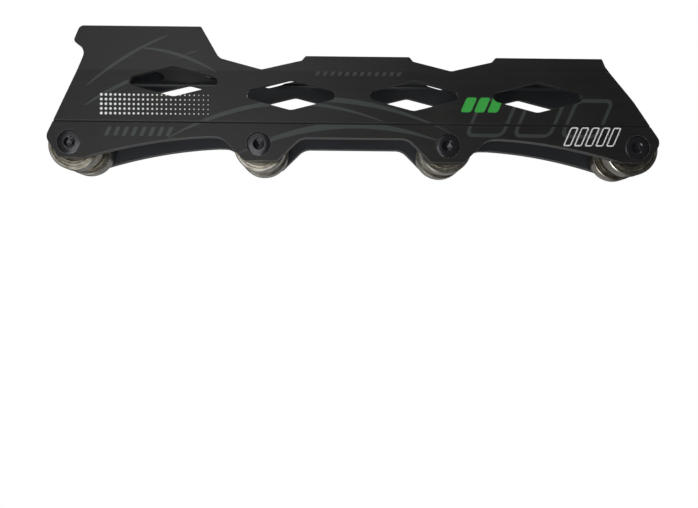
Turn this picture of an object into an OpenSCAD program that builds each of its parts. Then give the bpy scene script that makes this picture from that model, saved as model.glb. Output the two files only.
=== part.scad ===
// Inline skate frame: one extruded channel with two side walls, four screw-in axles and,
// on each axle, two shielded ball bearings with a flanged spacer between them.
// X runs from heel to toe, Y across the frame, Z up from the ground.
// Heights in the sections below are measured from the lower edge of the side walls.

/* [Wheel line] */
// Distance from the first axle to the last
wheelbase = 239; // [228:1:255]
// Height of the axle line above the lower edge of the walls
axle_rise = 7.1; // [6.8:0.1:8.5]

/* [Bearings] */
// Bore of the inner ring
bearing_bore = 8; // [7:0.1:8.4]
// Outside diameter of the outer ring
bearing_od = 22; // [21:0.1:24]
// Width of both rings
bearing_w = 7; // [6.6:0.1:8]
// Diameter of a ball
ball_d = 3.97; // [3.6:0.01:4.1]
// Number of balls in one bearing
ball_count = 7; // [5:1:8]
// Depth of the ball track below the land of a ring
track_depth = 0.58; // [0.4:0.01:0.8]
// Clearance between a ball and its track
track_slack = 0.09; // [0.05:0.01:0.12]
// Clearance between a ball and its cage pocket
pocket_slack = 0.12; // [0.06:0.01:0.2]
// Wall of the cage beside a ball
cage_wall = 0.35; // [0.25:0.01:0.4]
// Radial thickness of the cage
cage_t = 1.1; // [0.8:0.1:1.4]
// Sheet thickness of a shield
shield_t = 0.3; // [0.2:0.05:0.4]
// Depth of a shield below the face of the rings
shield_sink = 0.35; // [0.2:0.05:0.45]
// Depth of the pressed band round the bore of a shield
shield_step = 0.15; // [0.05:0.05:0.2]
// Width of that band
shield_band = 0.7; // [0.4:0.05:1]
// Running gap between a shield and the inner ring
shield_gap = 0.3; // [0.2:0.05:0.5]
// Width of the shoulder that a shield is pressed into
shield_seat = 0.8; // [0.6:0.05:1]
// Seating clearance round a shield's edge
shield_slack = 0.02; // [0.01:0.01:0.05]
// Chamfer on the edges of the rings
ring_chamfer = 0.35; // [0.2:0.05:0.5]

/* [Spacers] */
// Length of the sleeve between the two inner rings
spacer_len = 10.4; // [9:0.1:12]
// Diameter of the sleeve at both ends
spacer_end_d = 10.8; // [10.4:0.1:11.6]
// Diameter of the middle flange
spacer_flange_d = 17.7; // [15:0.1:19]
// Width of the flange at its rim
flange_rim_w = 1.6; // [1:0.1:2.4]
// Width of the flange at its foot
flange_foot_w = 5.4; // [3.5:0.1:6.5]
// Chamfer on the ends of the sleeve
spacer_chamfer = 0.4; // [0.2:0.05:0.6]

/* [Axles] */
// Radial clearance of the shank in the rings and the spacer
shank_slip = 0.03; // [0.02:0.01:0.05]
// Radial clearance of the axle in the walls
wall_slip = 0.08; // [0.05:0.01:0.1]
// Diameter of the head
head_d = 10; // [9.4:0.1:10.6]
// Height of the straight rim of the head
head_rim = 1; // [0.6:0.1:1.2]
// Height of the cone under the head
head_cone = 2.4; // [1.8:0.1:2.6]
// Depth of the head and of the threaded end below the outer faces of the walls
head_sink = 0.2; // [0.1:0.05:0.4]
// Diameter of the threaded end
thread_d = 6; // [5:0.1:6.4]
// Length of the threaded end
thread_len = 7; // [6:0.1:8]
// Width across flats of the key socket
key_w = 4; // [3:0.5:5]
// Depth of the key socket
key_depth = 3; // [2:0.1:4]
// Chamfer on the ends of the axle
axle_chamfer = 0.4; // [0.2:0.05:0.5]

/* [Channel section] */
// Wall thickness at the axles
wall_low = 4.2; // [3.8:0.1:5]
// Wall thickness above the groove
wall_high = 3; // [2.6:0.1:3.6]
// Height of the bosses on the inner faces of the walls
boss_h = 1.6; // [1:0.1:2.4]
// Diameter of a boss where it meets the bearing
boss_top_d = 12.4; // [11:0.1:12.6]
// Diameter of a boss at the wall
boss_foot_d = 16; // [14:0.1:18]
// Height of the groove along the outer faces
groove_z = 16; // [15:0.1:18]
// Depth of that groove
groove_depth = 0.5; // [0.3:0.05:0.8]
// Width of that groove
groove_w = 1; // [0.6:0.05:1.4]
// Height of the bend where the walls start to lean out
bend_z = 37.6; // [36:0.1:38.5]
// Spread of each wall from the groove to the bend
bend_spread = 0.4; // [0.2:0.05:0.8]
// Lean of the walls above the bend, in degrees
lean_deg = 7.9; // [5:0.1:10]
// Thickness of both webs
web_t = 4; // [3:0.1:4.4]
// Fillet inside the channel, beside the webs
inner_fillet = 2; // [1:0.1:2.4]

/* [Platforms] */
// Height of the toe and middle platforms
deck_z = 43.8; // [42.5:0.1:46]
// Height of the heel platform
heel_z = 55.2; // [53.5:0.1:60]
// Distance between the two mounting slots
mount_spacing = 171; // [166:0.5:176]
// Place of the middle between the slots, towards the toe
mount_shift = -6.5; // [-8:0.1:-4]
// Toe platform ahead of its slot
toe_ahead = 24.7; // [22:0.1:26]
// Toe platform behind its slot
toe_behind = 19.8; // [18:0.1:20.5]
// Heel platform ahead of its slot
heel_ahead = 28.1; // [26:0.1:29]
// Heel platform behind its slot
heel_behind = 20.4; // [19:0.1:23]
// Length of the middle platform
mid_len = 43.4; // [38:0.1:46]
// Shift of the middle platform towards the toe
mid_shift = 1.4; // [0:0.1:3]
// Width of a mounting slot
slot_w = 9.3; // [8:0.1:10]
// Length of a mounting slot, across the frame
slot_len = 23.5; // [20:0.1:25]

/* [Upper edge] */
// Height of the dips above the two middle axles
dip_z = 38.2; // [36.8:0.1:39]
// Shift of the dips towards the toe
dip_shift = 1; // [0:0.1:2]
// Drop of the small steps beside the toe and middle platforms
step_drop = 1.8; // [1:0.1:2.6]
// Run of those steps
step_run = 1.6; // [1:0.1:2.4]
// Run of the slope in front of the heel platform
heel_slope_run = 7.3; // [5:0.1:9]
// Height lost at the foot of that slope, below the toe platform
heel_slope_foot = 1.1; // [0.2:0.1:2]
// How far the rear hooks reach behind the heel platform
hook_reach = 5; // [3.4:0.1:6]
// How far the upper corners of the hooks reach behind the heel platform
hook_top = 2; // [1:0.1:2.8]
// Height of the hook's tip below the heel platform
hook_drop = 6.2; // [4.5:0.1:7]
// Height of the notch under the hook below the heel platform
notch_drop = 9.8; // [9:0.1:11.5]
// Rounding of the hook's upper corner
hook_round = 2.7; // [1:0.1:3]
// Rounding of the hook's tip
hook_tip_round = 1.5; // [0.5:0.1:2]
// Rounding of the notch
notch_round = 3.4; // [1:0.1:4]
// Run of the bevel at the front of the toe platform
toe_bevel_run = 1.6; // [0.8:0.1:2.4]
// Drop of that bevel
toe_bevel_drop = 3.2; // [2:0.1:4.5]
// Height of the knee in the toe's front edge
toe_knee_z = 26.3; // [22:0.1:30]
// Bulge of that knee beyond a straight edge
toe_knee_bulge = 1.2; // [0.4:0.1:2]
// Rounding of that knee
toe_knee_round = 20; // [5:1:30]

/* [Lower edge] */
// Length of the flat under each middle axle
foot_flat = 13.7; // [11:0.1:15]
// Shift of the flat under the second axle towards the toe
foot_shift = 0.9; // [0:0.1:1.5]
// Height of the arches between the axles
arch_z = 9.9; // [8:0.1:11]
// Slope of the flanks beside the middle axles, in degrees
flank_deg = 45; // [38:1:55]
// Fillet at the top of a flank
flank_fillet = 7; // [3:0.1:8]
// Straight lead from a flank into the outer arch
arch_lead = 6.5; // [4:0.1:8]
// Height of the handle point that bows the outer arches
arch_bow = 8.5; // [6:0.1:9.5]
// Flat under an end axle, towards the middle
end_flat_in = 5.9; // [4:0.1:8]
// Flat under an end axle, towards the tip
end_flat_out = 4.4; // [3:0.1:6]
// Height of the flats under the end axles above those under the middle ones
end_lift = 0.6; // [0:0.1:1.5]
// Reach of the tips beyond the end axles
end_reach = 10; // [8:0.1:12]
// Height of the tips
tip_z = 9.2; // [7.5:0.1:11]
// Rounding of the tips
tip_round = 4; // [1:0.1:4.5]
// Rounding of the lower corners
foot_round = 2.2; // [0.4:0.1:3]
// Rounding of the platform corners
deck_round = 0.8; // [0.3:0.1:1.5]
// Rounding of the dips and slope feet
dip_round = 4; // [1:0.1:6]

/* [Windows] */
// Places of the four windows along the frame
window_x = [-75.8, -26.4, 25.3, 77.3]; // [-90:0.1:90]
// Heights of their centres
window_z = [33, 27.8, 27.9, 27.7]; // [24:0.1:33.2]
// Length of a window
window_len = 37.2; // [30:0.1:40]
// Height of a window
window_h = 12.9; // [10:0.1:13]
// Rounding of the noses of a window
window_nose_r = 2.2; // [1.6:0.1:4]
// Rounding at the top and bottom of a window
window_peak_r = 5; // [2:0.1:12]

/* [Wheel cut-outs] */
// Half length of the cut-outs above the middle axles
cut_half = 25.3; // [23:0.1:26]
// Reach of the toe platform's front cut behind the last axle
toe_cut = 23.1; // [20:0.1:25]
// Reach of the heel's lower cut ahead of the first axle
heel_cut = 35.5; // [33:0.1:38]
// Radius of the curved ends of the cut-outs
cut_end_r = 15.3; // [13.6:0.1:18]
// Width of the cut-outs
cut_w = 26; // [24:0.1:27]
// Width of the ears at the heel platform's rear corners
ear_w = 4.2; // [3.6:0.1:6]
// Recess of the heel platform's front edge between the walls
heel_front_recess = 1.5; // [0.5:0.1:3]
// Bevel where the heel platform's end edges run into the ears
ear_bevel = 2.5; // [1:0.1:3]

/* [Hidden] */
station_count = 4;
sides = ["right", "left"];
pieces = ["outer_ring", "inner_ring", "shields", "cage", "balls"];
$fn = 64;
corner_steps = 6;
arch_steps = 12;
over = 1;

pitch = wheelbase / (station_count - 1);
axle_z = max(bearing_od / 2, axle_rise);
wall_z = axle_z - axle_rise;
function station_x(i) = (i - 1 - (station_count - 1) / 2) * pitch;

boss_gap = 2 * bearing_w + spacer_len;
inner_low = boss_gap / 2 + boss_h;
half_out = inner_low + wall_low;
half_bend = half_out + bend_spread;
function lean_out(z) = half_bend + (z - bend_z) * tan(lean_deg);
half_top = lean_out(heel_z);
web_under = deck_z - web_t;
heel_web_under = heel_z - web_t;

toe_x = mount_shift + mount_spacing / 2;
heel_x = mount_shift - mount_spacing / 2;
toe_front = toe_x + toe_ahead;
toe_back = toe_x - toe_behind;
heel_front = heel_x + heel_ahead;
heel_back = heel_x - heel_behind;
mid_front = mid_shift + mid_len / 2;
mid_back = mid_shift - mid_len / 2;
last_x = station_x(station_count);
frame_len = 2 * (last_x + end_reach);

pitch_r = (bearing_bore + bearing_od) / 4;
track_r = ball_d / 2 + track_slack;
inner_land_r = pitch_r - ball_d / 2 + track_depth;
outer_land_r = pitch_r + ball_d / 2 - track_depth;
shield_r = outer_land_r + shield_seat;
shield_y = bearing_w / 2 - shield_sink - shield_t;
bearing_y = (spacer_len + bearing_w) / 2;

bore_r = bearing_bore / 2;
shank_r = bore_r - shank_slip;
shank_hole_r = shank_r + wall_slip;
thread_hole_r = thread_d / 2 + wall_slip;
head_y = -half_out + head_sink;
cone_y = head_y + head_rim;
shank_y = cone_y + head_cone;
thread_end_y = half_out - head_sink;
thread_y = thread_end_y - thread_len;

// Arc that rounds the corner q between p and s, its radius limited by the two edges
function round_corner(p, q, s, r) =
    let (u = (p - q) / norm(p - q))
    let (v = (s - q) / norm(s - q))
    let (half = acos(max(-1, min(1, u * v))) / 2)
    let (t = min(r / tan(half), 0.49 * norm(p - q), 0.49 * norm(s - q)))
    let (rr = t * tan(half))
    let (c = q + (u + v) / norm(u + v) * rr / sin(half))
    let (from = q + u * t - c)
    let (to = q + v * t - c)
    let (a = atan2(from.y, from.x))
    let (turn = atan2(from.x * to.y - from.y * to.x, from * to))
    [for (k = [0:corner_steps]) c + rr * [cos(a + turn * k / corner_steps), sin(a + turn * k / corner_steps)]];

// Outline through corners given as [x, y, radius], with a sharp corner where the radius is 0
function rounded(pts) =
    let (n = len(pts))
    [for (i = [0:n - 1])
        let (p = pts[(i + n - 1) % n])
        let (q = pts[i])
        let (s = pts[(i + 1) % n])
        each q.z > 0
            ? round_corner([p.x, p.y], [q.x, q.y], [s.x, s.y], q.z)
            : [[q.x, q.y]]];

// Points of a curve from a to c that leaves and arrives towards the handle b
function bowed(a, b, c) =
    [for (k = [0:arch_steps])
        let (t = k / arch_steps)
        let (p = (1 - t) * (1 - t) * a + 2 * t * (1 - t) * b + t * t * c)
        [p.x, p.y, 0]];

function reversed(list) = [for (i = [len(list) - 1:-1:0]) list[i]];

// Lower edge from the middle of the frame to the end of the foot under the toe axle,
// with the inner foot shifted along the frame
function lower_half(shift) =
    let (mid_x = station_x(station_count - 1) + shift)
    let (run = arch_z / tan(flank_deg))
    let (flank_top = mid_x + foot_flat / 2 + run)
    let (arch_from = [flank_top + arch_lead, arch_z])
    let (arch_to = [last_x - end_flat_in, end_lift])
    concat(
        [[mid_x - foot_flat / 2 - run, arch_z, flank_fillet],
         [mid_x - foot_flat / 2, 0, foot_round],
         [mid_x + foot_flat / 2, 0, foot_round],
         [flank_top, arch_z, flank_fillet]],
        bowed(arch_from, [(arch_from.x + arch_to.x) / 2, arch_bow], arch_to),
        [[last_x + end_flat_out, end_lift, foot_round]]
    );

// Upper edge from the toe platform back to the notch under the heel's hook
function upper_edge() = [
    [toe_front + toe_bevel_run, deck_z - toe_bevel_drop, deck_round],
    [toe_front, deck_z, deck_round],
    [toe_back, deck_z, deck_round],
    [toe_back - step_run, deck_z - step_drop, deck_round],
    [station_x(3) + dip_shift, dip_z, dip_round],
    [mid_front + step_run, deck_z - step_drop, deck_round],
    [mid_front, deck_z, deck_round],
    [mid_back, deck_z, deck_round],
    [mid_back - step_run, deck_z - step_drop, deck_round],
    [station_x(2) + dip_shift, dip_z, dip_round],
    [heel_front + heel_slope_run, deck_z - heel_slope_foot, dip_round],
    [heel_front, heel_z, deck_round],
    [heel_back - hook_top, heel_z, hook_round],
    [heel_back - hook_reach, heel_z - hook_drop, hook_tip_round],
    [heel_back, heel_z - notch_drop, notch_round]
];

// Knee of the toe's front edge, beyond the straight line from the tip to the bevel
function toe_knee(tip) =
    let (bevel = [toe_front + toe_bevel_run, deck_z - toe_bevel_drop])
    let (share = (toe_knee_z - tip_z) / (bevel.y - tip_z))
    [tip + (bevel.x - tip) * share + toe_knee_bulge, toe_knee_z, toe_knee_round];

module side_outline() {
    toe_half = lower_half(0);
    heel_half = lower_half(-foot_shift);
    tip = last_x + end_reach;
    polygon(rounded(concat(
        [for (p = reversed(heel_half)) [-p.x, p.y, p.z]],
        toe_half,
        [[tip, tip_z, tip_round], toe_knee(tip)],
        upper_edge(),
        [[-tip, tip_z, tip_round]]
    )));
}

// Both mirror halves of a shape drawn on the +X side
module both_sides() {
    children();
    mirror([1, 0]) children();
}

// Half outline of one hollow of the channel: its outer points, closed at the middle
module hollow(points) {
    both_sides()
        polygon(concat([[-over, points[0].y]], points, [[-over, points[len(points) - 1].y]]));
}

module channel_section() {
    difference() {
        both_sides()
            polygon([[-over, 0], [half_out, 0], [half_out, groove_z], [half_bend, bend_z],
                     [half_top, heel_z], [-over, heel_z]]);
        wheel_hollow();
        heel_hollow();
        both_sides()
            polygon([[half_out - groove_depth, groove_z],
                     [half_out + groove_depth, groove_z - groove_w],
                     [half_out + groove_depth, groove_z + groove_w]]);
    }
}

// Hollow for the wheels, under the lower web
module wheel_hollow() {
    inner_step = half_out - wall_high;
    inner_top = half_bend - wall_high;
    hollow([
        [inner_low, -over],
        [inner_low, groove_z],
        [inner_step, groove_z + inner_step - inner_low],
        each round_corner([inner_step, groove_z], [inner_top, web_under], [0, web_under], inner_fillet)
    ]);
}

// Hollow between the two webs of the heel
module heel_hollow() {
    low = [lean_out(deck_z) - wall_high, deck_z];
    high = [lean_out(heel_web_under) - wall_high, heel_web_under];
    hollow([
        each round_corner([0, deck_z], low, high, inner_fillet),
        each round_corner(low, high, [0, heel_web_under], inner_fillet)
    ]);
}

// A shape of the side view, carried across the frame
module across(width) {
    translate([0, 0, wall_z])
        rotate([90, 0, 0])
            linear_extrude(width, center = true)
                children();
}

// A shape of the top view, cut between two heights
module downward(z_low, z_high) {
    translate([0, 0, wall_z + z_low])
        linear_extrude(z_high - z_low)
            children();
}

// A profile of [radius, y] points, turned about the axle at one station
module turned(i, y = 0) {
    translate([station_x(i), y, axle_z])
        rotate([-90, 0, 0])
            rotate_extrude()
                children();
}

module window_shape() {
    peak = window_h / 2;
    nose_x = window_len / 2 - window_nose_r;
    slope = atan2(peak, nose_x) - asin(window_nose_r / norm([peak, nose_x]));
    apex = peak / tan(slope);
    polygon(rounded([
        [apex, 0, window_nose_r],
        [0, peak, window_peak_r],
        [-apex, 0, window_nose_r],
        [0, -peak, window_peak_r]
    ]));
}

// Wheel cut-out from x_from to x_to, with curved ends
module wheel_cut(x_from, x_to) {
    intersection() {
        translate([x_from, -cut_w / 2])
            square([x_to - x_from, cut_w]);
        union() {
            translate([x_from + cut_end_r, 0])
                circle(cut_end_r);
            translate([x_to - cut_end_r, 0])
                circle(cut_end_r);
            translate([x_from + cut_end_r, -cut_end_r])
                square([x_to - x_from - 2 * cut_end_r, 2 * cut_end_r]);
        }
    }
}

module mount_slot(x) {
    reach = (slot_len - slot_w) / 2;
    for (y = [-reach, reach])
        translate([x, y])
            circle(slot_w / 2);
    translate([x - slot_w / 2, -reach])
        square([slot_w, 2 * reach]);
}

// Edge recess of the heel platform: x_edge is its bottom, and it opens along dir
module edge_recess(x_edge, dir, reach) {
    half = half_top - ear_w;
    polygon([
        [x_edge, -half + ear_bevel],
        [x_edge + dir * ear_bevel, -half],
        [x_edge + dir * reach, -half],
        [x_edge + dir * reach, half],
        [x_edge + dir * ear_bevel, half],
        [x_edge, half - ear_bevel]
    ]);
}

// Cut-outs through the lower web
module lower_web_cuts() {
    tail = 2 * cut_end_r;
    for (i = [2, 3])
        wheel_cut(station_x(i) - cut_half, station_x(i) + cut_half);
    wheel_cut(last_x - toe_cut, last_x + tail);
    wheel_cut(station_x(1) - tail, station_x(1) + heel_cut);
    mount_slot(toe_x);
}

// Cut-outs through the upper web of the heel
module upper_web_cuts() {
    mount_slot(heel_x);
    edge_recess(heel_back, -1, 2 * hook_reach);
    edge_recess(heel_front - heel_front_recess, 1, heel_slope_run + heel_front_recess);
}

// Seat for one axle: countersunk on the right wall, the thread's hole in the left wall
module axle_hole(i) {
    turned(i)
        polygon([
            [0, -half_top - over],
            [head_d / 2 + wall_slip, -half_top - over],
            [head_d / 2 + wall_slip, cone_y],
            [shank_hole_r, shank_y],
            [shank_hole_r, 0],
            [thread_hole_r, 0],
            [thread_hole_r, half_top + over],
            [0, half_top + over]
        ]);
}

// Bosses on both walls that the bearings are clamped between
module axle_bosses(i) {
    for (side = [0, 180])
        translate([station_x(i), 0, axle_z])
            rotate([-90, 0, side])
                translate([0, 0, boss_gap / 2])
                    cylinder(h = boss_h + over, d1 = boss_top_d,
                             d2 = boss_foot_d + (boss_foot_d - boss_top_d) * over / boss_h);
}

module frame() {
    color("#26282a")
        difference() {
            intersection() {
                union() {
                    translate([-frame_len / 2 - over, 0, wall_z])
                        rotate([90, 0, 90])
                            linear_extrude(frame_len + 2 * over)
                                channel_section();
                    for (i = [1:station_count])
                        axle_bosses(i);
                }
                across(2 * half_top + 2 * over)
                    side_outline();
            }
            for (i = [1:station_count])
                axle_hole(i);
            for (k = [0:len(window_x) - 1])
                across(2 * half_top + 2 * over)
                    translate([window_x[k], window_z[k]])
                        window_shape();
            downward(web_under - over, deck_z + over)
                lower_web_cuts();
            downward(heel_web_under - over, heel_z + over)
                upper_web_cuts();
        }
}

module axle(i) {
    key_r = key_w / 2 / cos(30);
    color("#17181c")
        difference() {
            turned(i)
                polygon([
                    [0, head_y],
                    [head_d / 2 - axle_chamfer, head_y],
                    [head_d / 2, head_y + axle_chamfer],
                    [head_d / 2, cone_y],
                    [shank_r, shank_y],
                    [shank_r, thread_y - axle_chamfer],
                    [shank_r - axle_chamfer, thread_y],
                    [thread_d / 2, thread_y],
                    [thread_d / 2, thread_end_y - axle_chamfer],
                    [thread_d / 2 - axle_chamfer, thread_end_y],
                    [0, thread_end_y]
                ]);
            translate([station_x(i), head_y - over, axle_z])
                rotate([-90, 0, 0])
                    cylinder(h = key_depth + over, r = key_r, $fn = 6);
        }
}

module spacer(i) {
    half = spacer_len / 2;
    end_r = spacer_end_d / 2;
    color("#b9b6ae")
        turned(i)
            polygon([
                [bore_r, -half],
                [end_r - spacer_chamfer, -half],
                [end_r, -half + spacer_chamfer],
                [end_r, -flange_foot_w / 2],
                [spacer_flange_d / 2, -flange_rim_w / 2],
                [spacer_flange_d / 2, flange_rim_w / 2],
                [end_r, flange_foot_w / 2],
                [end_r, half - spacer_chamfer],
                [end_r - spacer_chamfer, half],
                [bore_r, half]
            ]);
}

module outer_ring(i, y) {
    half = bearing_w / 2;
    rim = bearing_od / 2;
    color("#c2c0ba")
        turned(i, y)
            difference() {
                polygon([
                    [outer_land_r, -shield_y],
                    [shield_r, -shield_y],
                    [shield_r, -half],
                    [rim - ring_chamfer, -half],
                    [rim, -half + ring_chamfer],
                    [rim, half - ring_chamfer],
                    [rim - ring_chamfer, half],
                    [shield_r, half],
                    [shield_r, shield_y],
                    [outer_land_r, shield_y]
                ]);
                translate([pitch_r, 0])
                    circle(track_r);
            }
}

module inner_ring(i, y) {
    half = bearing_w / 2;
    color("#c8c6c0")
        turned(i, y)
            difference() {
                polygon([
                    [bore_r + ring_chamfer, -half],
                    [inner_land_r, -half],
                    [inner_land_r, half],
                    [bore_r + ring_chamfer, half],
                    [bore_r, half - ring_chamfer],
                    [bore_r, -half + ring_chamfer]
                ]);
                translate([pitch_r, 0])
                    circle(track_r);
            }
}

// Pressed ring of sheet with a sunk band round its bore, on each face of the bearing
module shields(i, y) {
    bore = inner_land_r + shield_gap;
    band = bore + shield_band;
    rim = shield_r - shield_slack;
    color("#9c9a92")
        for (side = [-1, 1])
            turned(i, y)
                polygon([
                    [bore, side * (shield_y - shield_step)],
                    [band, side * (shield_y - shield_step)],
                    [band + shield_step, side * shield_y],
                    [rim, side * shield_y],
                    [rim, side * (shield_y + shield_t)],
                    [band + shield_step, side * (shield_y + shield_t)],
                    [band, side * (shield_y + shield_t - shield_step)],
                    [bore, side * (shield_y + shield_t - shield_step)]
                ]);
}

// Places its children at each ball of the bearing centred at y
module at_balls(i, y) {
    translate([station_x(i), y, axle_z])
        for (k = [0:ball_count - 1])
            rotate([0, k * 360 / ball_count, 0])
                translate([pitch_r, 0, 0])
                    children();
}

module cage(i, y) {
    pocket_r = ball_d / 2 + pocket_slack;
    half = pocket_r + cage_wall;
    color("#8d7a4a")
        difference() {
            turned(i, y)
                translate([pitch_r - cage_t / 2, -half])
                    square([cage_t, 2 * half]);
            at_balls(i, y)
                rotate([0, 90, 0])
                    cylinder(h = 2 * cage_t, r = pocket_r, center = true);
        }
}

module balls(i, y) {
    color("#d6d6d4")
        at_balls(i, y)
            sphere(ball_d / 2);
}

frame();
for (i = [1:station_count]) {
    axle(i);
    spacer(i);
    for (s = sides) {
        y = s == "right" ? -bearing_y : bearing_y;
        bearing = str("bearing_", i, "_", s, "_");
        outer_ring(i, y);
        inner_ring(i, y);
        shields(i, y);
        cage(i, y);
        balls(i, y);
    }
}
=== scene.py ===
"""Looks of an inline skate frame: an anodised channel with axles, spacers and shielded ball bearings.

The channel, the spacers, the rings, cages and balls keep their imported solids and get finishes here. The
axles and the bearing shields are surfaces worked out in this file, with the thread, key socket and pressed
steps of the real pieces. Sizes are in millimetres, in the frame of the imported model.
"""

from __future__ import annotations

import logging
import math
from dataclasses import dataclass
from enum import Enum

import bpy
import numpy as np
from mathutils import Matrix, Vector

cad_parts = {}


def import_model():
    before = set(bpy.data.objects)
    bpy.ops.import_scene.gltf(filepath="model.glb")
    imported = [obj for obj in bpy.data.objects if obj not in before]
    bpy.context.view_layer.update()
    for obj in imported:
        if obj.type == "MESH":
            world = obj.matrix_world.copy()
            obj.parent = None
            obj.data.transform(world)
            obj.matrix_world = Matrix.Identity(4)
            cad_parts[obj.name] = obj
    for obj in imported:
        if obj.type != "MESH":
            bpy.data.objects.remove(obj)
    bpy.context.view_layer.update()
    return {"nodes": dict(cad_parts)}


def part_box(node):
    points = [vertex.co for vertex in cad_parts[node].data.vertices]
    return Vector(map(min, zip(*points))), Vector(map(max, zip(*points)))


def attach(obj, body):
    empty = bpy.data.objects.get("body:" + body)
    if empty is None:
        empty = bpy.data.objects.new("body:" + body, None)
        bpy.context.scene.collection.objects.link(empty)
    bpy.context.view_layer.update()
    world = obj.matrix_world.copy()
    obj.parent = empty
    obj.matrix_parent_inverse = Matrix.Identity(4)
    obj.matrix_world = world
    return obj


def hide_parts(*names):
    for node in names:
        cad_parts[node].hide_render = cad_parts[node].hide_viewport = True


LOG = logging.getLogger("skate_frame")
MM = 0.001
IMAGE_WIDTH = 698
IMAGE_HEIGHT = 508
SENSOR_MM = 36.0

Array = np.ndarray
Nodes = dict[str, bpy.types.Object]
Colour = tuple[float, float, float]
Point = tuple[float, float, float]
# X and Z of an axle's line, or place along the frame and height on a wall.
Spot = tuple[float, float]
# Start and end of a ramp, or its results there.
Span = tuple[float, float]
# Start and end of a ramp and its results there.
Step = tuple[float, float, float, float]

# A fractal noise varies about its middle, and most of it lies within its span.
NOISE_MIDDLE = 0.5
NOISE_SPAN: Span = (0.3, 0.7)


class Side(Enum):
    """The two walls of the channel, named for the skater, with the sign of Y."""

    RIGHT = -1
    LEFT = 1

    @property
    def word(self) -> str:
        """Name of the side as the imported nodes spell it."""
        return self.name.lower()


class Fill(Enum):
    """How a printed bar is inked."""

    SOLID = "solid"
    OUTLINE = "outline"


class Field:
    """A number that varies over a surface, held as an output of a finish's node tree.

    Sums, differences and products of fields and plain numbers give new fields.
    """

    def __init__(self, tree: bpy.types.NodeTree, socket: bpy.types.NodeSocket) -> None:
        """Keep the tree and the output socket that carries the number.

        Args:
            tree: Node tree that the socket belongs to.
            socket: Output socket of one of its nodes.
        """
        self.tree = tree
        self.socket = socket

    def math(self, operation: str, *others: Field | float) -> Field:
        """Apply one operation of the Math node to this field.

        Args:
            operation: Name of the operation, such as ADD.
            others: Further operands, fields or plain numbers.

        Returns:
            The resulting field.
        """
        node = self.tree.nodes.new("ShaderNodeMath")
        node.operation = operation
        for socket, value in zip(node.inputs, (self, *others)):
            feed(self.tree, socket, value)
        return Field(self.tree, node.outputs[0])

    def __add__(self, other: Field | float) -> Field:
        """Sum with a field or number."""
        return self.math("ADD", other)

    def __sub__(self, other: Field | float) -> Field:
        """Difference from a field or number."""
        return self.math("SUBTRACT", other)

    def __mul__(self, other: Field | float) -> Field:
        """Product with a field or number."""
        return self.math("MULTIPLY", other)

    def __abs__(self) -> Field:
        """Size without its sign."""
        return self.math("ABSOLUTE")

    def over(self, other: Field | float) -> Field:
        """The larger of this field and another."""
        return self.math("MAXIMUM", other)

    def under(self, other: Field | float) -> Field:
        """The smaller of this field and another."""
        return self.math("MINIMUM", other)

    def hypot(self, other: Field) -> Field:
        """Length of the vector that has the two fields as its parts."""
        return (self * self + other * other).math("SQRT")

    def cell(self, pitch: float) -> Field:
        """Signed distance to the nearest multiple of pitch."""
        turns = self * (1 / pitch)
        return (turns - turns.math("ROUND")) * pitch

    def ramp(self, start: float, end: float, low: float = 0.0, high: float = 1.0) -> Field:
        """Smooth step from low at start to high at end, flat outside; start may lie above end.

        Args:
            start: Value where the step begins.
            end: Value where the step is complete.
            low: Result before the step.
            high: Result after the step.

        Returns:
            The stepped field.
        """
        node = self.tree.nodes.new("ShaderNodeMapRange")
        node.interpolation_type = "SMOOTHSTEP"
        for name, value in (("From Min", start), ("From Max", end), ("To Min", low), ("To Max", high)):
            node.inputs[name].default_value = value
        self.tree.links.new(self.socket, node.inputs["Value"])
        return Field(self.tree, node.outputs["Result"])

    def inked(self, soft: float = 0.09) -> Field:
        """Coverage of a shape whose signed distance this field is: one inside, zero outside."""
        return self.ramp(soft, -soft)


def feed(tree: bpy.types.NodeTree, socket: bpy.types.NodeSocket, value: Field | float | tuple) -> None:
    """Link a field to an input socket, or set a plain value on it.

    Args:
        tree: Node tree that holds the socket.
        socket: Input to feed.
        value: Field, number or tuple.
    """
    if isinstance(value, Field):
        tree.links.new(value.socket, socket)
    else:
        socket.default_value = value


@dataclass(frozen=True)
class Cells:
    """A fractal noise that is fixed to a piece: cells to a millimetre along X, Y and Z, and its octaves."""

    density: tuple[float, float, float]
    octaves: float = 2.0
    weight: float = 0.5


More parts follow.
